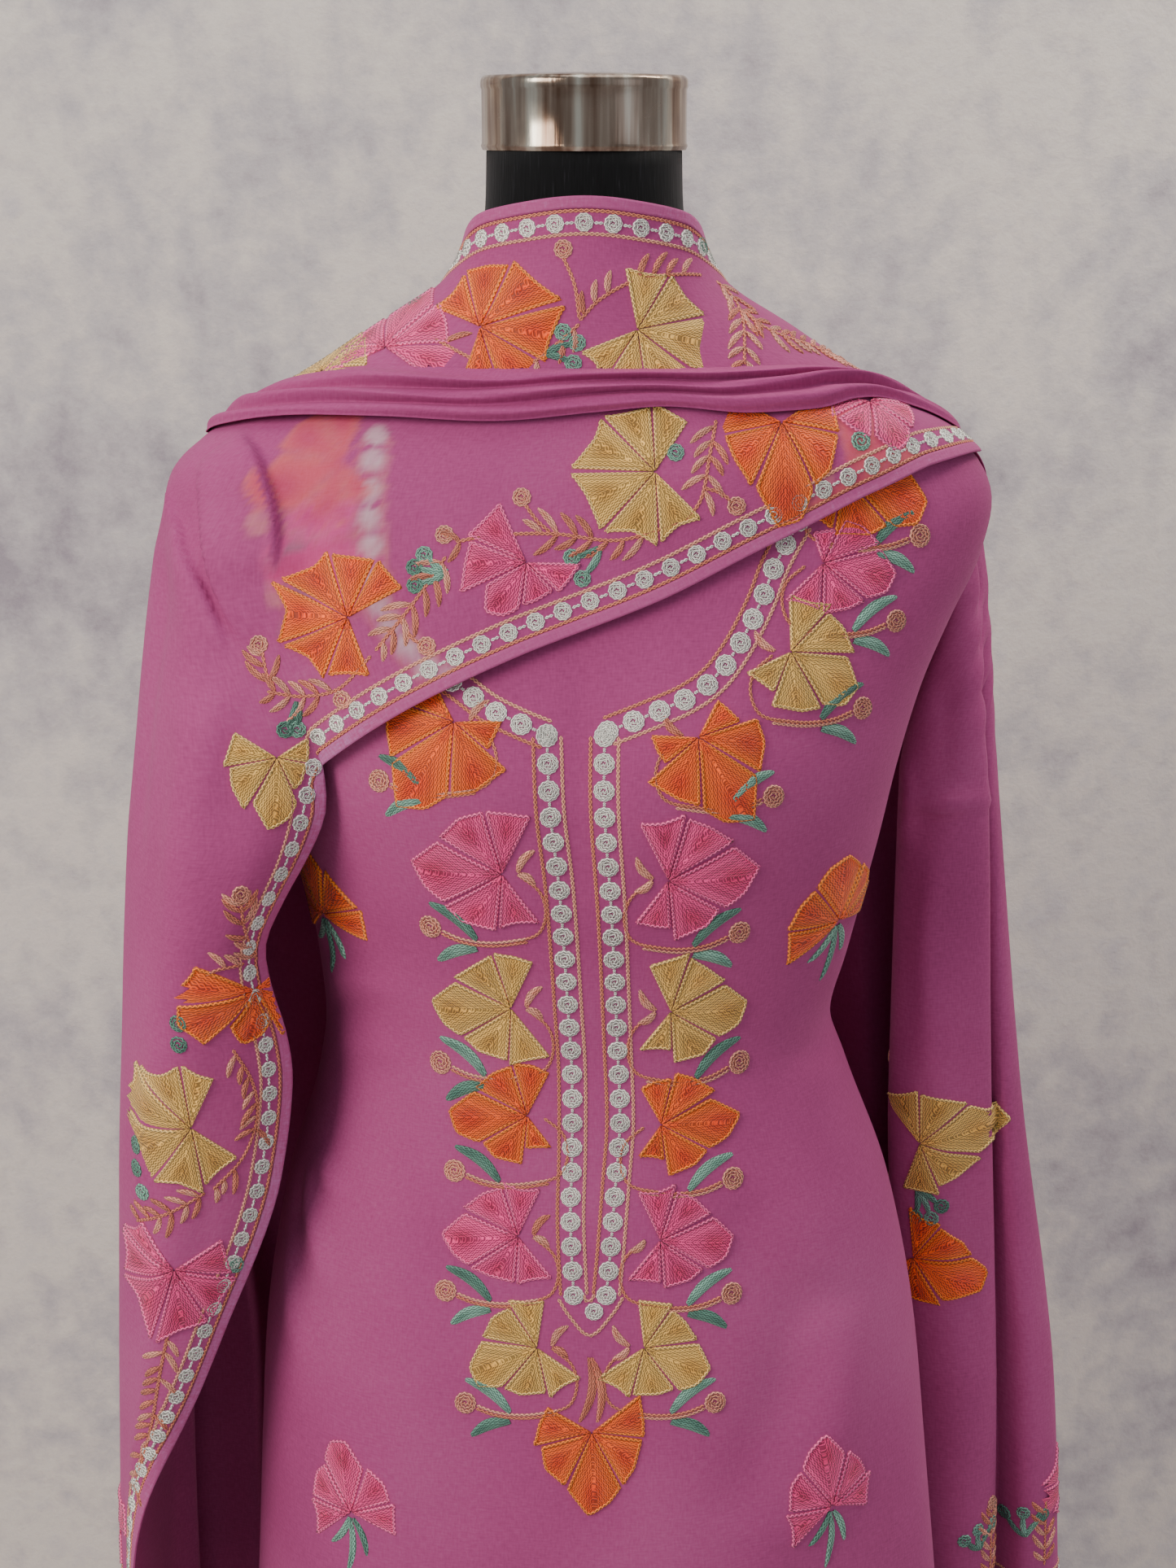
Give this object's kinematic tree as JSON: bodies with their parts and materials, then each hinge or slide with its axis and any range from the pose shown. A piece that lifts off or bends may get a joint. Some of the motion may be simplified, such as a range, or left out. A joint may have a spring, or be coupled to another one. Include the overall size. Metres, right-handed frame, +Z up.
{
  "type": "salwar kameez suit on a limbless dress form",
  "caption": "Embroidered kameez, salwar and dupatta draped on a limbless black dress form with a neck cap and a round stand.",
  "frame": {"origin": "centre of the stand base's underside, on the floor", "axes": "+Z up, the front faces -Y, the side on the right of the picture is +X"},
  "size_m": [0.6003, 0.34, 1.5],
  "materials": {
    "georgette": "matte crepe georgette with chain stitch",
    "black_jersey": "matte black stretch jersey over the form",
    "chrome": "polished"
  },
  "bodies": {
    "root": {"kameez_front": "georgette", "kameez_back": "georgette", "salwar_yoke": "georgette", "salwar_leg_left": "georgette", "salwar_leg_right": "georgette", "salwar_cuff_left": "georgette", "salwar_cuff_right": "georgette", "dupatta_neck": "georgette", "dupatta_pleats": "georgette", "dupatta_chest": "georgette", "dupatta_left_fall": "georgette", "dupatta_right_fall": "georgette", "form_torso": "black_jersey", "neck_cap": "chrome", "stand_flange": "chrome", "stand_pole": "chrome", "stand_base": "chrome"}
  },
  "joints": []
}
